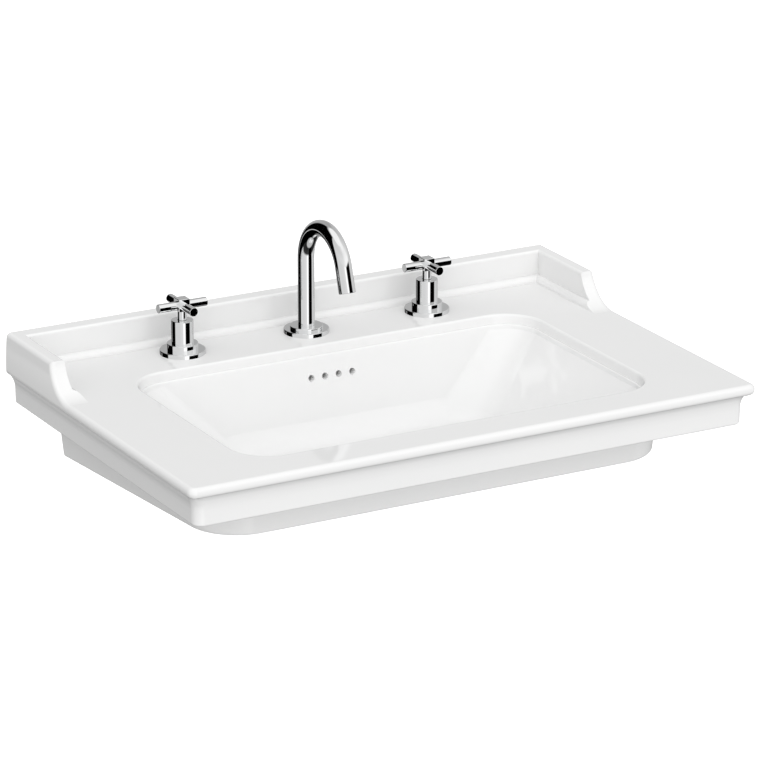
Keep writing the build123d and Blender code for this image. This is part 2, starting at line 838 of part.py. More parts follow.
def headwork():
    """Screw-in headwork: sleeve for the discs, hexagon, and a long guide."""
    with BuildPart() as made:
        for radius, low, high in (
            (SLEEVE_R, VALVE_SEAT_Z + 0.2, SLEEVE_TOP),
            (CHAMBER_R - FIT, SLEEVE_TOP, SHANK_TOP),
            (GUIDE_R, HEX_TOP, GUIDE_TOP),
        ):
            with BuildSketch(Plane.XY.offset(low)):
                Circle(radius)
            extrude(amount=high - low)
        with BuildSketch(Plane.XY.offset(SHANK_TOP)):
            RegularPolygon(HEX_AF / 2, 6, major_radius=False)
        extrude(amount=HEX_TOP - SHANK_TOP)
        with BuildSketch(Plane.XY.offset(VALVE_SEAT_Z + 0.2)):
            Circle(DISC_R + FIT)
        extrude(amount=PORT_Z + 6 - VALVE_SEAT_Z, mode=Mode.SUBTRACT)
        with BuildSketch(Plane.XY.offset(VALVE_SEAT_Z)):
            Circle(SPINDLE_R + FIT)
        extrude(amount=GUIDE_TOP - VALVE_SEAT_Z + 1, mode=Mode.SUBTRACT)
        with BuildSketch(Plane.YZ.offset(-SLEEVE_R - 1)):
            with Locations((0, PORT_Z)):
                Rectangle(WINDOW_W, WINDOW_H)
        extrude(amount=2 * SLEEVE_R + 2, mode=Mode.SUBTRACT)
    return made.part


def disc(radius, low, slotted):
    """Ceramic disc with two quarter openings."""
    with BuildPart() as made:
        with BuildSketch(Plane.XY.offset(low)):
            Circle(radius)
            for start in (0, 180):
                with BuildLine():
                    Line((0, 0), Vector(radius - 1, 0).rotate(Axis.Z, start + 8))
                    CenterArc((0, 0), radius - 1, start + 8, 74)
                    Line(Vector(radius - 1, 0).rotate(Axis.Z, start + 82), (0, 0))
                make_face(mode=Mode.SUBTRACT)
            Circle(1.6)
        extrude(amount=DISC_T)
        if slotted:
            with BuildSketch(Plane.XY.offset(low + DISC_T - TONGUE_H)):
                Rectangle(TONGUE_W + 0.1, TONGUE_L + 0.1)
            extrude(amount=TONGUE_H, mode=Mode.SUBTRACT)
    return made.part


def valve_body(out):
    """Brass body: shank through the deck, side outlet, threaded inlet tail."""
    with BuildPart() as made:
        with BuildSketch(Plane.XY.offset(VALVE_STEP_Z)):
            Circle(SHANK_R)
        extrude(amount=SHANK_TOP - VALVE_STEP_Z)
        with BuildSketch(Plane.XY.offset(VALVE_END_Z)):
            Circle(INLET_R)
        extrude(amount=VALVE_STEP_Z - VALVE_END_Z)
        chamfer(edges().group_by(Axis.Z)[0], 0.8)
        with BuildSketch(Plane.YZ):
            with Locations((0, PORT_Z)):
                Circle(PORT_R)
        extrude(amount=out * (SHANK_R + PORT_REACH))
        with BuildSketch(Plane.XY.offset(VALVE_SEAT_Z)):
            Circle(CHAMBER_R)
        extrude(amount=SHANK_TOP - VALVE_SEAT_Z, mode=Mode.SUBTRACT)
        with BuildSketch(Plane.XY.offset(VALVE_END_Z)):
            Circle(INLET_BORE)
        extrude(amount=VALVE_SEAT_Z - VALVE_END_Z, mode=Mode.SUBTRACT)
        with BuildSketch(Plane.YZ):
            with Locations((0, PORT_Z)):
                Circle(LINK_R + FIT)
        extrude(amount=out * (SHANK_R + PORT_REACH + 1), mode=Mode.SUBTRACT)
    return made.part


for prefix, x in (("hot", -HANDLE_X), ("cold", HANDLE_X)):
    toward_spout = 1 if x < 0 else -1
    place = Location((x, TAP_Y, 0))
    fixed_low = VALVE_SEAT_Z + DISC_LIFT
    moving_low = fixed_low + DISC_T + DISC_GAP
    flange = tap_flange(VALVE_COLLAR_R, VALVE_COLLAR_TOP, COLUMN_R + FIT, SEAL_T + 0.5)
    save(place * flange, prefix + "_flange")
    save(place * column(), prefix + "_column")
    save(place * handle_hub(), prefix + "_handle_hub")
    save(place * handle_arms(), prefix + "_handle_arms")
    save(place * handle_screw(), prefix + "_handle_screw")
    save(place * spindle(), prefix + "_spindle")
    save(place * headwork(), prefix + "_headwork")
    save(place * disc(DISC_R, fixed_low, False), prefix + "_disc_fixed")
    save(place * disc(DISC_R - 0.3, moving_low, True), prefix + "_disc_moving")
    save(place * valve_body(toward_spout), prefix + "_valve_body")
    save_clamp_set(prefix, x)

# ======================================================================
# spout
# ======================================================================
spout_place = Location((0, TAP_Y, 0))
spout_flange = tap_flange(SPOUT_COLLAR_R, SPOUT_COLLAR_TOP, SPOUT_R + 2 * FIT, SPOUT_RELIEF_TOP)
save(spout_place * spout_flange, "spout_flange")
save_clamp_set("spout", 0)

with BuildPart() as spout_tube:
    with BuildLine(Plane.YZ) as spout_line:
        rise = Line((TAP_Y, SPOUT_END_Z), (TAP_Y, SPOUT_RISE))
        bend = JernArc(start=rise @ 1, tangent=rise % 1, radius=SPOUT_BEND_R, arc_size=SPOUT_BEND)
        tail = PolarLine(bend @ 1, SPOUT_TAIL, direction=bend % 1)
    with BuildSketch(Plane.XY.offset(SPOUT_END_Z)):
        with Locations((0, TAP_Y)):
            Circle(SPOUT_R)
    sweep(path=spout_line.wire())
    tip_plane = Plane(origin=tail @ 1, z_dir=tail % 1)
    with BuildSketch(Plane.XY.offset(SPIGOT_TOP)):
        with Locations((0, TAP_Y)):
            Circle(SPOUT_BORE)
    with BuildLine(Plane.YZ) as bore_line:
        bore_rise = Line((TAP_Y, SPIGOT_TOP), (TAP_Y, SPOUT_RISE))
        bore_bend = JernArc(
            start=bore_rise @ 1, tangent=bore_rise % 1, radius=SPOUT_BEND_R, arc_size=SPOUT_BEND
        )
        PolarLine(bore_bend @ 1, SPOUT_TAIL, direction=bore_bend % 1)
    sweep(path=bore_line.wire(), mode=Mode.SUBTRACT)
    with BuildSketch(Plane.XY.offset(SPOUT_END_Z)):
        with Locations((0, TAP_Y)):
            Circle(SPIGOT_BORE)
    extrude(amount=-SPOUT_END_Z, mode=Mode.SUBTRACT)
    grooves = [(z, RING_SEAT_R, 2 * RING_R + 0.3) for z in RING_ZS]
    grooves.append((CLIP_Z, CLIP_SEAT_R, CLIP_T + 0.1))
    for groove_z, seat_r, groove_w in grooves:
        with BuildSketch(Plane.XY.offset(groove_z - groove_w / 2)):
            with Locations((0, TAP_Y)):
                Circle(SPOUT_R + 1)
                Circle(seat_r, mode=Mode.SUBTRACT)
        extrude(amount=groove_w, mode=Mode.SUBTRACT)
    with BuildSketch(tip_plane):
        Circle(AERATOR_SEAT_R)
    extrude(amount=-AERATOR_SEAT, mode=Mode.SUBTRACT)
    tip_edges = edges().filter_by(GeomType.CIRCLE).sort_by_distance(tail @ 1)
    fillet([edge for edge in tip_edges if abs(edge.radius - SPOUT_R) < 0.01][0], 0.6)
save(spout_tube.part, "spout_tube")

with BuildPart() as spout_o_rings:
    for ring_z in RING_ZS:
        with BuildSketch(Plane.XZ):
            with Locations((RING_SEAT_R + RING_R + 0.02, ring_z)):
                Circle(RING_R)
        revolve(axis=Axis.Z)
save(spout_place * spout_o_rings.part, "spout_o_rings")

with BuildPart() as spout_circlip:
    with BuildSketch(Plane.XY.offset(CLIP_Z - CLIP_T / 2)):
        Circle(CLIP_R)
        Circle(CLIP_SEAT_R + FIT, mode=Mode.SUBTRACT)
        with Locations((0, CLIP_SEAT_R)):
            Rectangle(CLIP_GAP, 2 * CLIP_GAP, mode=Mode.SUBTRACT)
    extrude(amount=CLIP_T)
save(spout_place * spout_circlip.part, "spout_circlip")

with BuildPart() as spout_shank:
    with BuildSketch(Plane.XY.offset(SPOUT_SHANK_Z)):
        Circle(SHANK_R)
    extrude(amount=SHANK_TOP - SPOUT_SHANK_Z)
    chamfer(edges().group_by(Axis.Z)[0], 1.0)
    with BuildSketch(Plane.YZ.offset(-SHANK_R - PORT_REACH)):
        with Locations((0, PORT_Z)):
            Circle(PORT_R)
    extrude(amount=2 * (SHANK_R + PORT_REACH))
    with BuildSketch(Plane.XY.offset(SPOUT_END_Z - 0.5)):
        Circle(SPOUT_R + 0.08)
    extrude(amount=SHANK_TOP - SPOUT_END_Z + 0.5, mode=Mode.SUBTRACT)
    with BuildSketch(Plane.XY.offset(SPOUT_PLENUM_Z)):
        Circle(SPIGOT_BORE)
    extrude(amount=SPOUT_END_Z - SPOUT_PLENUM_Z, mode=Mode.SUBTRACT)
    with BuildSketch(Plane.YZ.offset(-SHANK_R - PORT_REACH - 1)):
        with Locations((0, PORT_Z)):
            Circle(LINK_R + FIT)
    extrude(amount=2 * (SHANK_R + PORT_REACH + 1), mode=Mode.SUBTRACT)
save(spout_place * spout_shank.part, "spout_shank")

# aerator set inside the spout's end, built along its own +Z and then placed
aerator_place = Plane(origin=tail @ 1, x_dir=(1, 0, 0), z_dir=-(tail % 1)).location
aerator_housing = ring(AERATOR_R, AERATOR_BORE, AERATOR_LOW, AERATOR_TOP)
save(aerator_place * aerator_housing, "aerator_housing")
aerator_seal = ring(AERATOR_R - 0.05, AERATOR_BORE - 0.4, AERATOR_TOP, AERATOR_SEAL_TOP)
save(aerator_place * aerator_seal, "aerator_seal")
with BuildPart() as aerator_insert:
    with BuildSketch(Plane.XY.offset(INSERT_LOW)):
        Circle(INSERT_R)
        with GridLocations(MESH_PITCH, MESH_PITCH, 6, 6):
            Rectangle(MESH_HOLE, MESH_HOLE, mode=Mode.SUBTRACT)
    extrude(amount=INSERT_T)
    with BuildSketch(Plane.XY.offset(INSERT_LOW)):
        Circle(INSERT_R)
        Circle(INSERT_BORE, mode=Mode.SUBTRACT)
    extrude(amount=INSERT_H)
save(aerator_place * aerator_insert.part, "aerator_insert")

# ======================================================================
# link tubes from the side valves to the spout
# ======================================================================
with BuildPart() as link_nuts:
    for nut_x, facing in (
        (-HANDLE_X + SHANK_R + PORT_REACH, 1),
        (-SHANK_R - PORT_REACH, -1),
        (SHANK_R + PORT_REACH, 1),
        (HANDLE_X - SHANK_R - PORT_REACH, -1),
    ):
        with BuildSketch(Plane.YZ.offset(nut_x)):
            with Locations((TAP_Y, PORT_Z)):
                RegularPolygon(LINK_NUT_AF / 2, 6, major_radius=False)
                Circle(LINK_R + FIT, mode=Mode.SUBTRACT)
        extrude(amount=facing * LINK_NUT_L)
save(link_nuts.part, "link_nuts")

for prefix, side in (("hot", -1), ("cold", 1)):
    start_x = side * (SPIGOT_BORE + 1)
    end_x = side * (HANDLE_X - CHAMBER_R - 1)
    with BuildPart() as link_tube:
        with BuildSketch(Plane.YZ.offset(start_x)):
            with Locations((TAP_Y, PORT_Z)):
                Circle(LINK_R)
                Circle(LINK_R - LINK_WALL, mode=Mode.SUBTRACT)
        extrude(amount=end_x - start_x)
    save(link_tube.part, prefix + "_link_tube")

# ======================================================================
# click waste, built on its own axis and placed at the drain
# ======================================================================
waste_place = Location((0, DRAIN_Y, 0))
with BuildPart() as waste_body:
    with BuildSketch(Plane.XZ):
        with BuildLine():
            Polyline(
                (TAIL_BORE, TAIL_Z),
                (OUTLET_R, TAIL_Z),
                (OUTLET_R, TAIL_FREE_Z),
                (TAIL_R, TAIL_FREE_Z),
                (TAIL_R, SEAT_LOW),
                (DRAIN_RECESS_R - 1, SEAT_LOW),
                (DRAIN_RECESS_R - 1, SEAT_TOP),
                (TAIL_R + 4, SEAT_TOP - 1.2),
                (TAIL_BORE, SEAT_TOP - 4),
                close=True,
            )
        make_face()
    revolve(axis=Axis.Z)
    with BuildSketch(Plane.XY.offset(BAR_LOW)):
        Rectangle(2 * TAIL_BORE + 1, BAR_W)
        Rectangle(BAR_W, 2 * TAIL_BORE + 1)
        Circle(BAR_HUB_R)
    extrude(amount=BAR_TOP - BAR_LOW)
    with BuildSketch(Plane.XY.offset(BAR_LOW)):
        Circle(BAR_HOLE_R)
    extrude(amount=BAR_TOP - BAR_LOW + 1, mode=Mode.SUBTRACT)
    for turn in range(4):
        with BuildSketch(Plane.XZ.rotated((0, 0, 90 * turn + 45)).offset(-TAIL_R - 1)):
            with Locations((0, channel_low + CHANNEL_H / 2)):
                SlotOverall(16, CHANNEL_H)
        extrude(amount=6, mode=Mode.SUBTRACT)
save(waste_place * waste_body.part, "waste_body")

with BuildPart() as waste_cartridge:
    with BuildSketch(Plane.XY.offset(BAR_TOP)):
        Circle(CARTRIDGE_R)
    extrude(amount=CARTRIDGE_TOP - BAR_TOP)
    with BuildSketch(Plane.XY.offset(BAR_LOW - 1)):
        Circle(BAR_HOLE_R - FIT)
    extrude(amount=BAR_TOP - BAR_LOW + 1)
    with BuildSketch(Plane.XY.offset(BAR_LOW + 1)):
        Circle(STEM_R + FIT)
    extrude(amount=CARTRIDGE_TOP - BAR_LOW, mode=Mode.SUBTRACT)
save(waste_place * waste_cartridge.part, "waste_cartridge")

plug_low = SEAT_TOP + 0.4 + PLUG_LIFT
with BuildPart() as waste_plug:
    with BuildSketch(Plane.XY.offset(plug_low)):
        Circle(PLUG_R)
    extrude(amount=PLUG_T)
    fillet(edges().filter_by(GeomType.CIRCLE).group_by(Axis.Z)[-1], PLUG_EDGE_R)
    chamfer(edges().filter_by(GeomType.CIRCLE).group_by(Axis.Z)[0], 1.0)
    with BuildSketch(Plane.XY.offset(plug_low - PLUG_PAD_T)):
        Circle(PLUG_PAD_R)
    extrude(amount=PLUG_PAD_T)
    with BuildSketch(Plane.XY.offset(plug_low - 2)):
        Circle(STEM_R - 1 + FIT)
    extrude(amount=4, mode=Mode.SUBTRACT)
save(waste_place * waste_plug.part, "waste_plug")

with BuildPart() as waste_stem:
    with BuildSketch(Plane.XY.offset(STEM_LOW)):
        Circle(STEM_R)
    extrude(amount=plug_low - PLUG_PAD_T - STEM_LOW)
    with BuildSketch(Plane.XY.offset(plug_low - PLUG_PAD_T)):
        Circle(STEM_R - 1)
    extrude(amount=PLUG_PAD_T + 1.7)
save(waste_place * waste_stem.part, "waste_stem")

with BuildPart() as waste_spring:
    spring_low = CARTRIDGE_TOP + SPRING_END
    spring_height = plug_low - PLUG_PAD_T - SPRING_END - spring_low
    with BuildLine() as coil:
        Helix(pitch=spring_height / SPRING_TURNS, height=spring_height, radius=SPRING_R)
    with BuildSketch(Plane(origin=coil.line @ 0, z_dir=coil.line % 0)):
        Circle(SPRING_WIRE_R)
    sweep(path=coil.wire())
save(Location((0, DRAIN_Y, spring_low)) * waste_spring.part, "waste_spring")

save(waste_place * ring(DRAIN_RECESS_R - 1.5, TAIL_R, DRAIN_SEAT_Z, SEAT_LOW), "waste_top_seal")
seal_low = BOSS_Z - WASTE_SEAL_T
washer_low = seal_low - WASTE_WASHER_T
save(waste_place * ring(WASTE_SEAL_R, TAIL_R + FIT, seal_low, BOSS_Z), "waste_bottom_seal")
save(waste_place * ring(WASTE_WASHER_R, TAIL_R + FIT, washer_low, seal_low), "waste_washer")
waste_backnut = hex_nut(WASTE_NUT_AF, TAIL_R + FIT, washer_low - WASTE_NUT_T, washer_low)
save(waste_place * waste_backnut, "waste_backnut")
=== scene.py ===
import json
import math

import bpy
from mathutils import Matrix, Vector


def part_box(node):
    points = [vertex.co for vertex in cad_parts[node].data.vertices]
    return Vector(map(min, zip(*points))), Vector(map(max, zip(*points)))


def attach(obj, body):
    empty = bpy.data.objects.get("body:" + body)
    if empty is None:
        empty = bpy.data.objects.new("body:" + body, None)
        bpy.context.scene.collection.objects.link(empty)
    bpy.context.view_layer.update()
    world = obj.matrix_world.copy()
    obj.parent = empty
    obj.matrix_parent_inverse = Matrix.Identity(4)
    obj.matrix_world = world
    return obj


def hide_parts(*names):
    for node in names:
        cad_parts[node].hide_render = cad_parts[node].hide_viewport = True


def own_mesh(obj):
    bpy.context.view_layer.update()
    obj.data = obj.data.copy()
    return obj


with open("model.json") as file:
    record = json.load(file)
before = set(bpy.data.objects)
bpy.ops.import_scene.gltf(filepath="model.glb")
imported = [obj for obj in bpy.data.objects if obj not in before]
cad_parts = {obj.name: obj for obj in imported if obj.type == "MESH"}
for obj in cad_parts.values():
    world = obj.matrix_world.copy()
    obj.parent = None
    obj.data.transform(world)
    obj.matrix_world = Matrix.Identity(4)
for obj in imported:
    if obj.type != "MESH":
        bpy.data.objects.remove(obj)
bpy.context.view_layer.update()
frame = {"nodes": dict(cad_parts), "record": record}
nodes = frame["nodes"]
scene = bpy.context.scene
slot_of = {s["node"]: s["material_slot"] for s in frame["record"]["subparts"]}


# ---------------------------------------------------------------- node helpers
class Tree:
    """Short calls for building a shader node tree."""

    def __init__(self, tree):
        self.tree = tree
        tree.nodes.clear()

    def node(self, kind, **settings):
        made = self.tree.nodes.new(kind)
        for key, value in settings.items():
            setattr(made, key, value)
        return made

    def feed(self, made, socket, value):
        """Link or set one input, given by its name or number."""
        target = made.inputs[socket]
        if isinstance(value, bpy.types.NodeSocket):
            self.tree.links.new(value, target)
        else:
            target.default_value = value

    def math(self, operation, *values):
        """One operation on two values, or a running one on more, such as a sum."""
        result = values[0]
        for value in values[1:]:
            made = self.node("ShaderNodeMath", operation=operation)
            self.feed(made, 0, result)
            self.feed(made, 1, value)
            result = made.outputs[0]
        return result

    def size(self, value):
        """The value without its sign."""
        made = self.node("ShaderNodeMath", operation="ABSOLUTE")
        self.feed(made, 0, value)
        return made.outputs[0]

    def split(self, vector):
        """The X, Y and Z of a vector."""
        made = self.node("ShaderNodeSeparateXYZ")
        self.feed(made, 0, vector)
        return tuple(made.outputs)

    def dot(self, vector, direction):
        made = self.node("ShaderNodeVectorMath", operation="DOT_PRODUCT")
        self.feed(made, 0, vector)
        self.feed(made, 1, direction)
        return made.outputs["Value"]

    def between(self, value, low, high):
        """The value rescaled from low..high to 0..1, clamped."""
        made = self.node("ShaderNodeMapRange", clamp=True)
        self.feed(made, "Value", value)
        self.feed(made, "From Min", low)
        self.feed(made, "From Max", high)
        return made.outputs[0]

    def band(self, value, low_out, low_in, high_in, high_out):
        """1 from low_in to high_in, falling to 0 at low_out and at high_out."""
        return self.math(
            "MULTIPLY", self.between(value, high_out, high_in), self.between(value, low_out, low_in)
        )

    def ramp(self, value, stops):
        """A straight ramp of (place, shade), where a shade is a grey level or a colour."""
        made = self.node("ShaderNodeValToRGB")
        self.feed(made, 0, value)
        elements = made.color_ramp.elements
        while len(elements) < len(stops):
            elements.new(0.5)
        for element, (place, shade) in zip(elements, stops):
            element.position = place
            colour = (shade, shade, shade) if isinstance(shade, float) else shade
            element.color = (*colour, 1.0)
        return made.outputs[0]

    def tone(self, value, one, other, low=0.3, high=0.7):
        """Noise turned into a shade between two, over the middle of its range."""
        return self.ramp(value, [(low, one), (high, other)])

    def noise(self, vector, scale, detail=2.0):
        made = self.node("ShaderNodeTexNoise")
        self.feed(made, "Vector", vector)
        self.feed(made, "Scale", scale)
        self.feed(made, "Detail", detail)
        return made.outputs[0]

    def mix(self, share, a, b):
        made = self.node("ShaderNodeMix", data_type="RGBA")
        self.feed(made, 0, share)
        self.feed(made, 6, a)
        self.feed(made, 7, b)
        return made.outputs[2]

    def bump(self, height, distance, strength, normal=None):
        made = self.node("ShaderNodeBump")
        self.feed(made, "Strength", strength)
        self.feed(made, "Distance", distance)
        self.feed(made, "Height", height)
        if normal is not None:
            self.feed(made, "Normal", normal)
        return made.outputs[0]


def new_tree(owner):
    """The emptied node tree of a material or world."""
    owner.use_nodes = True
    return Tree(owner.node_tree)


def new_material(name, **values):
    """A material with a Principled shader, its even values set on the shader's own sockets."""
    made = bpy.data.materials.new(name)
    tree = new_tree(made)
    shader = tree.node("ShaderNodeBsdfPrincipled")
    tree.feed(tree.node("ShaderNodeOutputMaterial"), 0, shader.outputs[0])
    for key, value in values.items():
        tree.feed(shader, key.replace("_", " "), value)
    place = tree.node("ShaderNodeTexCoord").outputs["Object"]
    return made, tree, shader, place


# ---------------------------------------------------------------- materials
# where the casting is bare: its back at the wall, and its downward feet
WALL_Y = (-0.0012, -0.0004)
FOOT_NORMAL_Z = (-0.97, -0.995)
FASCIA_FOOT_Z = (-0.0552, -0.0547, -0.0543, -0.0538)
BOSS_FOOT_Z = (-0.1493, -0.1499)
BISCUIT = (0.72, 0.70, 0.66), (0.80, 0.78, 0.74)
BISCUIT_ROUGH = (0.7, 0.7, 0.7, 1.0)
GLAZE = (0.925, 0.927, 0.925), (0.940, 0.940, 0.937)
GLAZE_ROUGH = 0.03, 0.06
# painted shade: the crease under the rolled edge is greyed in the glaze colour, standing in for the
# shadow there
HALF_WIDTH, DEPTH = 0.400, 0.530
CREASE_SHADE_REACH = (-0.0130, -0.0105)
CREASE_SHADE_Z = (-0.0215, -0.0150, -0.0130, -0.0100)
CREASE_SHADE_SHARE, CREASE_SHADE_GREY = 0.9, (0.80, 0.80, 0.80, 1.0)
CHROME = (0.955, 0.96, 0.965), (0.975, 0.98, 0.98)
CHROME_ROUGH = 0.02, 0.045


def glaze_material():
    """White glaze, bare and matt where the casting stands against the wall and on its feet, with
    painted shade greying the crease under the rolled edge.
    """
    made, tree, shader, place = new_material("glaze", IOR=1.5, Specular_IOR_Level=0.5)
    x, y, z = tree.split(place)
    facing = tree.split(tree.node("ShaderNodeTexCoord").outputs["Normal"])[2]
    feet = tree.math("MAXIMUM", tree.band(z, *FASCIA_FOOT_Z), tree.between(z, *BOSS_FOOT_Z))
    feet = tree.math("MULTIPLY", tree.between(facing, *FOOT_NORMAL_Z), feet)
    bare = tree.math("MAXIMUM", tree.between(y, *WALL_Y), feet)

    # painted shade: a grey band in the glaze colour just under the rolled edge, near the outer sides
    # and front, standing in for the crease's shadow
    reach_x = tree.math("SUBTRACT", tree.size(x), HALF_WIDTH)
    reach_y = tree.math("SUBTRACT", tree.math("MULTIPLY", y, -1.0), DEPTH)
    shade_near_edge = tree.between(tree.math("MAXIMUM", reach_x, reach_y), *CREASE_SHADE_REACH)
    painted_crease_shade = tree.math("MULTIPLY", shade_near_edge, tree.band(z, *CREASE_SHADE_Z), CREASE_SHADE_SHARE)

    glaze_and_shade = tree.mix(painted_crease_shade, tree.tone(tree.noise(place, scale=4.0, detail=3.0), *GLAZE), CREASE_SHADE_GREY)
    speck = tree.noise(place, scale=900.0)
    biscuit = tree.tone(speck, *BISCUIT, low=0.35, high=0.65)
    tree.feed(shader, "Base Color", tree.mix(bare, glaze_and_shade, biscuit))
    gloss = tree.tone(tree.noise(place, scale=25.0, detail=3.0), *GLAZE_ROUGH)
    tree.feed(shader, "Roughness", tree.mix(bare, gloss, BISCUIT_ROUGH))
    waves = tree.bump(tree.noise(place, scale=60.0), distance=0.0002, strength=0.12)
    grain = tree.bump(tree.math("MULTIPLY", speck, bare), distance=0.0003, strength=0.5, normal=waves)
    tree.feed(shader, "Normal", grain)
    return made


def chrome_material():
    """Bright chrome plate with a faint uneven polish."""
    made, tree, shader, place = new_material("chrome", Metallic=1.0, IOR=1.45)
    tint = tree.noise(place, scale=30.0, detail=3.0)
    polish = tree.noise(place, scale=120.0, detail=4.0)
    tree.feed(shader, "Base Color", tree.tone(tint, *CHROME))
    tree.feed(shader, "Roughness", tree.tone(polish, *CHROME_ROUGH, high=0.75))
    return made


def metal_material(name, dark, light, rough, scale, stretch):
    """Bare metal with turning marks, drawn out by a stretch, and an uneven tone."""
    made, tree, shader, place = new_material(name, Metallic=1.0)
    drawn = tree.node("ShaderNodeMapping")
    tree.feed(drawn, "Vector", place)
    tree.feed(drawn, "Scale", stretch)
    marks = tree.noise(drawn.outputs[0], scale, detail=4.0)
    tint = tree.noise(place, scale=40.0, detail=4.0)
    tree.feed(shader, "Base Color", tree.tone(tint, dark, light))
    tree.feed(shader, "Roughness", tree.tone(marks, *rough))
    tree.feed(shader, "Normal", tree.bump(marks, distance=0.0001, strength=0.35))
    return made


def dull_material(name, dark, light, rough, scale):
    """Moulded rubber, plastic or ceramic with a fine grain."""
    made, tree, shader, place = new_material(name)
    grain = tree.noise(place, scale)
    tint = tree.noise(place, scale=60.0, detail=3.0)
    tree.feed(shader, "Base Color", tree.tone(tint, dark, light))
    tree.feed(shader, "Roughness", tree.tone(grain, *rough))
    tree.feed(shader, "Normal", tree.bump(grain, distance=0.0001, strength=0.3))
    return made


# name: darkest and lightest colour, roughness from and to, scale of the marks and their stretch
METALS = {
    "brass": ((0.62, 0.45, 0.20), (0.78, 0.60, 0.32), (0.22, 0.38), 900.0, (0.05, 0.05, 1.0)),
    "copper": ((0.62, 0.30, 0.18), (0.84, 0.50, 0.36), (0.20, 0.36), 500.0, (0.03, 1.0, 1.0)),
    "steel": ((0.52, 0.52, 0.53), (0.66, 0.66, 0.67), (0.18, 0.34), 800.0, (1.0, 1.0, 0.1)),
}
# name: darkest and lightest colour, roughness from and to, scale of the grain
DULL = {
    "rubber": ((0.018, 0.018, 0.018), (0.035, 0.035, 0.036), (0.55, 0.75), 1500.0),
    "disc_ceramic": ((0.82, 0.81, 0.77), (0.89, 0.88, 0.85), (0.10, 0.20), 2500.0),
    "plastic": ((0.66, 0.67, 0.69), (0.74, 0.75, 0.77), (0.30, 0.45), 2000.0),
}
finishes = {"glaze": glaze_material(), "chrome": chrome_material()}
finishes.update({name: metal_material(name, *look) for name, look in METALS.items()})
finishes.update({name: dull_material(name, *look) for name, look in DULL.items()})
for name, node in nodes.items():
    node.data.materials.clear()
    node.data.materials.append(finishes[slot_of[name]])


# ---------------------------------------------------------------- spring under the waste plug
SPRING_R = 0.0046
WIRE_R = 0.0005
SPRING_TURNS = 5
TURN_STEPS = 32
WIRE_SIDES = 10


def spring_mesh(height):
    """Round wire wound as a helix about Z, closed at both ends."""
    steps = SPRING_TURNS * TURN_STEPS
    rise = height / (2 * math.pi * SPRING_TURNS)
    points, faces = [], []
    for step in range(steps + 1):
        angle = 2 * math.pi * SPRING_TURNS * step / steps
        out = Vector((math.cos(angle), math.sin(angle), 0.0))
        along = Vector((-math.sin(angle) * SPRING_R, math.cos(angle) * SPRING_R, rise)).normalized()
        up = out.cross(along)
        centre = out * SPRING_R + Vector((0.0, 0.0, rise * angle))
        for side in range(WIRE_SIDES):
            turn = 2 * math.pi * side / WIRE_SIDES
            points.append(centre + out * WIRE_R * math.cos(turn) + up * WIRE_R * math.sin(turn))
    for step in range(steps):
        for side in range(WIRE_SIDES):
            a = step * WIRE_SIDES + side
            b = step * WIRE_SIDES + (side + 1) % WIRE_SIDES
            faces.append((a, a + WIRE_SIDES, b + WIRE_SIDES, b))
    faces.append(tuple(range(WIRE_SIDES)))
    faces.append(tuple(steps * WIRE_SIDES + side for side in reversed(range(WIRE_SIDES))))
    made = bpy.data.meshes.new("waste_spring_coil")
    made.from_pydata(points, [], faces)
    made.polygons.foreach_set("use_smooth", [True] * len(made.polygons))
    return made


low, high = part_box("waste_spring")
foot = Vector(((low[0] + high[0]) / 2, (low[1] + high[1]) / 2, low[2] + WIRE_R))
spring = bpy.data.objects.new("waste_spring_coil", spring_mesh(high[2] - low[2] - 2 * WIRE_R))
spring.location = foot
spring.data.materials.append(finishes["steel"])
scene.collection.objects.link(spring)
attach(spring, "basin")
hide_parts("waste_spring")
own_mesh(spring)
spring.visible_glossy = False


# ---------------------------------------------------------------- camera
TARGET = Vector((0.0, -0.275, 0.0))
AZIMUTH, ELEVATION = (math.radians(a) for a in (-28.763, 18.962))
DISTANCE = 5.7464
SHIFT_RIGHT, SHIFT_UP = -0.0047, -0.0036
LENS_MM, SENSOR_MM = 214.62, 36.0
NEAR, FAR = 0.05, 100.0

level = math.cos(ELEVATION)
back = Vector((math.sin(AZIMUTH) * level, -math.cos(AZIMUTH) * level, math.sin(ELEVATION)))
right = Vector((0, 0, 1)).cross(back).normalized()
top = back.cross(right)
eye = TARGET + back * DISTANCE + right * SHIFT_RIGHT + top * SHIFT_UP
lens = bpy.data.cameras.new("camera")
lens.lens = LENS_MM
lens.sensor_width = SENSOR_MM
lens.clip_start = NEAR
lens.clip_end = FAR
camera = bpy.data.objects.new("camera", lens)
turned = Matrix((right, top, back)).transposed().to_4x4()
camera.matrix_world = Matrix.Translation(eye) @ turned
scene.collection.objects.link(camera)
scene.camera = camera


# ---------------------------------------------------------------- floor
FLOOR_Z = -0.86
FLOOR_HALF = 16.0
FLOOR_GLOW = 0.45
FLOOR_GREY = 0.90, 0.92


def floor_material():
    """Plain pale studio floor, open when seen from below."""
    made, tree, paint, place = new_material(
        "floor",
        Roughness=0.9,
        Specular_IOR_Level=0.0,
        Emission_Color=(1.0, 1.0, 1.0, 1.0),
        Emission_Strength=FLOOR_GLOW,
    )
    tree.feed(paint, "Base Color", tree.tone(tree.noise(place, scale=2.0), *FLOOR_GREY))
    pick = tree.node("ShaderNodeMixShader")
    tree.feed(pick, 0, tree.node("ShaderNodeNewGeometry").outputs["Backfacing"])
    tree.feed(pick, 1, paint.outputs[0])
    tree.feed(pick, 2, tree.node("ShaderNodeBsdfTransparent").outputs[0])
    tree.feed(made.node_tree.nodes["Material Output"], 0, pick.outputs[0])
    return made


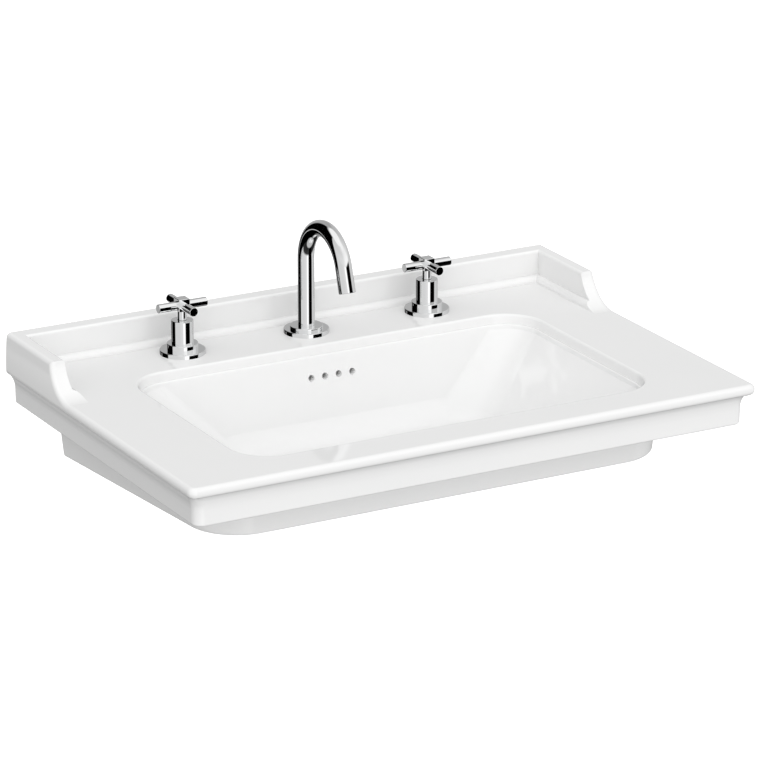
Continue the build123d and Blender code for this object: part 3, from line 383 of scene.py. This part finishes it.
corners = [(x * FLOOR_HALF, y * FLOOR_HALF, FLOOR_Z) for x, y in ((-1, -1), (1, -1), (1, 1), (-1, 1))]
floor_mesh = bpy.data.meshes.new("floor")
floor_mesh.from_pydata(corners, [], [(0, 1, 2, 3)])
floor_mesh.materials.append(floor_material())
floor = bpy.data.objects.new("floor", floor_mesh)
scene.collection.objects.link(floor)
floor.visible_glossy = False
floor.visible_diffuse = False


# ---------------------------------------------------------------- light
# Heights are the Z of a direction, -1 to 1. Places round the horizon run from 0 at -X through
# 0.25 at -Y, the front, 0.5 at +X and 0.75 at +Y, the back.
# What mirror reflections see: panels round the object, other ones above them, and their fading
PANELS = [
    (0.000, 0.66),
    (0.100, 0.66),
    (0.180, 0.72),
    (0.204, 0.80),
    (0.211, 1.10),
    (0.262, 1.10),
    (0.268, 0.40),
    (0.276, 0.00),
    (0.405, 0.00),
    (0.414, 0.62),
    (0.560, 0.55),
    (0.740, 0.42),
    (0.768, 0.30),
    (0.774, 0.00),
    (0.960, 0.00),
    (0.968, 0.66),
]
PANELS_ABOVE = [
    (0.000, 0.66),
    (0.200, 0.75),
    (0.300, 0.95),
    (0.400, 0.95),
    (0.450, 0.75),
    (0.560, 0.55),
    (0.640, 0.48),
    (0.655, 0.37),
    (0.685, 0.37),
    (0.740, 0.42),
    (0.768, 0.30),
    (0.774, 0.00),
    (0.960, 0.00),
    (0.968, 0.66),
]
ABOVE_Z = (0.29, 0.33)
LOW_Z, LOW_FADE = (-0.9, -0.3), [(0.0, 0.02), (0.45, 0.05), (0.62, 1.0)]
HIGH_Z, HIGH_FADE = (0.45, 0.95), [(0.0, 1.0), (0.5, 0.9), (1.0, 1.0)]
CEILING_Z, CEILING = (0.80, 0.90), 0.9
BENEATH_Z, BENEATH = (-0.88, -0.92), 0.5
# narrow bright strip inside the back panel, which only flat faces show
STRIP = [(0.8200, 0.0), (0.8205, 0.48), (0.8320, 0.48), (0.8325, 0.0)]
STRIP_Z, STRIP_FADE = (-0.50, -0.10), [(0.37, 0.0), (0.40, 1.0), (0.57, 1.0), (0.60, 0.0)]
# What lights the surfaces: an even part, a key from the front and above, and light from below,
# stronger in front; a brighter side at -X, and a dark corner below on the left
EVEN = 0.46
KEY_FROM, KEY_POWER, KEY = Vector((-0.12, -0.62, 0.78)).normalized(), 1.5, 1.03
GROUND_Z, GROUND_FROM, GROUND_EVEN, GROUND = (0.10, -0.15), (0.30, -0.88, 0.0), 0.95, 0.34
SIDE_X, SIDE_Z, SIDE = (-0.5, -0.95), (-0.25, 0.05), 0.32
CORNER_FROM, CORNER_NEAR, CORNER = (-0.62, 0.20, -0.76), (0.35, 0.95), 0.36
# What the camera sees behind the object
BACKDROP = 1.05


def studio_world():
    """White studio: soft directional fill, and dark and bright panels that only reflections see."""
    world = bpy.data.worlds.new("studio")
    scene.world = world
    tree = new_tree(world)
    aim = tree.node("ShaderNodeTexCoord").outputs["Generated"]
    x, y, z = tree.split(aim)

    turn = tree.math("DIVIDE", tree.math("ADD", tree.math("ARCTAN2", y, x), math.pi), 2 * math.pi)
    panels = tree.mix(tree.between(z, *ABOVE_Z), tree.ramp(turn, PANELS), tree.ramp(turn, PANELS_ABOVE))
    low_fade = tree.ramp(tree.between(z, *LOW_Z), LOW_FADE)
    high_fade = tree.ramp(tree.between(z, *HIGH_Z), HIGH_FADE)
    strip_fade = tree.ramp(tree.between(z, *STRIP_Z), STRIP_FADE)
    mirrored = tree.math(
        "MAXIMUM",
        tree.math("MULTIPLY", panels, low_fade, high_fade),
        tree.math("MULTIPLY", tree.between(z, *CEILING_Z), CEILING),
        tree.math("MULTIPLY", tree.between(z, *BENEATH_Z), BENEATH),
        tree.math("MULTIPLY", tree.ramp(turn, STRIP), strip_fade),
    )

    key = tree.math("POWER", tree.math("MAXIMUM", tree.dot(aim, KEY_FROM), 0.0), KEY_POWER)
    ground = tree.math("ADD", tree.dot(aim, GROUND_FROM), GROUND_EVEN)
    side = tree.math("MULTIPLY", tree.between(x, *SIDE_X), tree.between(z, *SIDE_Z), SIDE)
    corner = tree.between(tree.dot(aim, CORNER_FROM), *CORNER_NEAR)
    fill = tree.math(
        "ADD",
        tree.math("MULTIPLY", key, KEY),
        EVEN,
        tree.math("MULTIPLY", tree.between(z, *GROUND_Z), GROUND, ground),
        side,
    )
    fill = tree.math("SUBTRACT", fill, tree.math("MULTIPLY", corner, CORNER))

    path = tree.node("ShaderNodeLightPath")
    glossy = path.outputs["Is Glossy Ray"]
    shown = tree.math(
        "ADD",
        tree.math("MULTIPLY", glossy, mirrored),
        tree.math("MULTIPLY", tree.math("SUBTRACT", 1.0, glossy), fill),
    )
    backdrop = tree.math("MULTIPLY", path.outputs["Is Camera Ray"], BACKDROP)
    shine = tree.node("ShaderNodeBackground")
    tree.feed(shine, "Color", tree.math("MAXIMUM", shown, backdrop))
    tree.feed(tree.node("ShaderNodeOutputWorld"), 0, shine.outputs[0])


studio_world()
scene.view_settings.view_transform = "Standard"
scene.view_settings.look = "None"
scene.view_settings.exposure = 0.0
scene.view_settings.gamma = 1.0
scene.cycles.diffuse_bounces = 8

# mirror reflections show the studio and the chrome above the deck, without the basin or the
# inner fittings
ABOVE_DECK_Z = 0.001
for name, node in nodes.items():
    if slot_of[name] != "chrome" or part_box(name)[1][2] < ABOVE_DECK_Z:
        node.visible_glossy = False
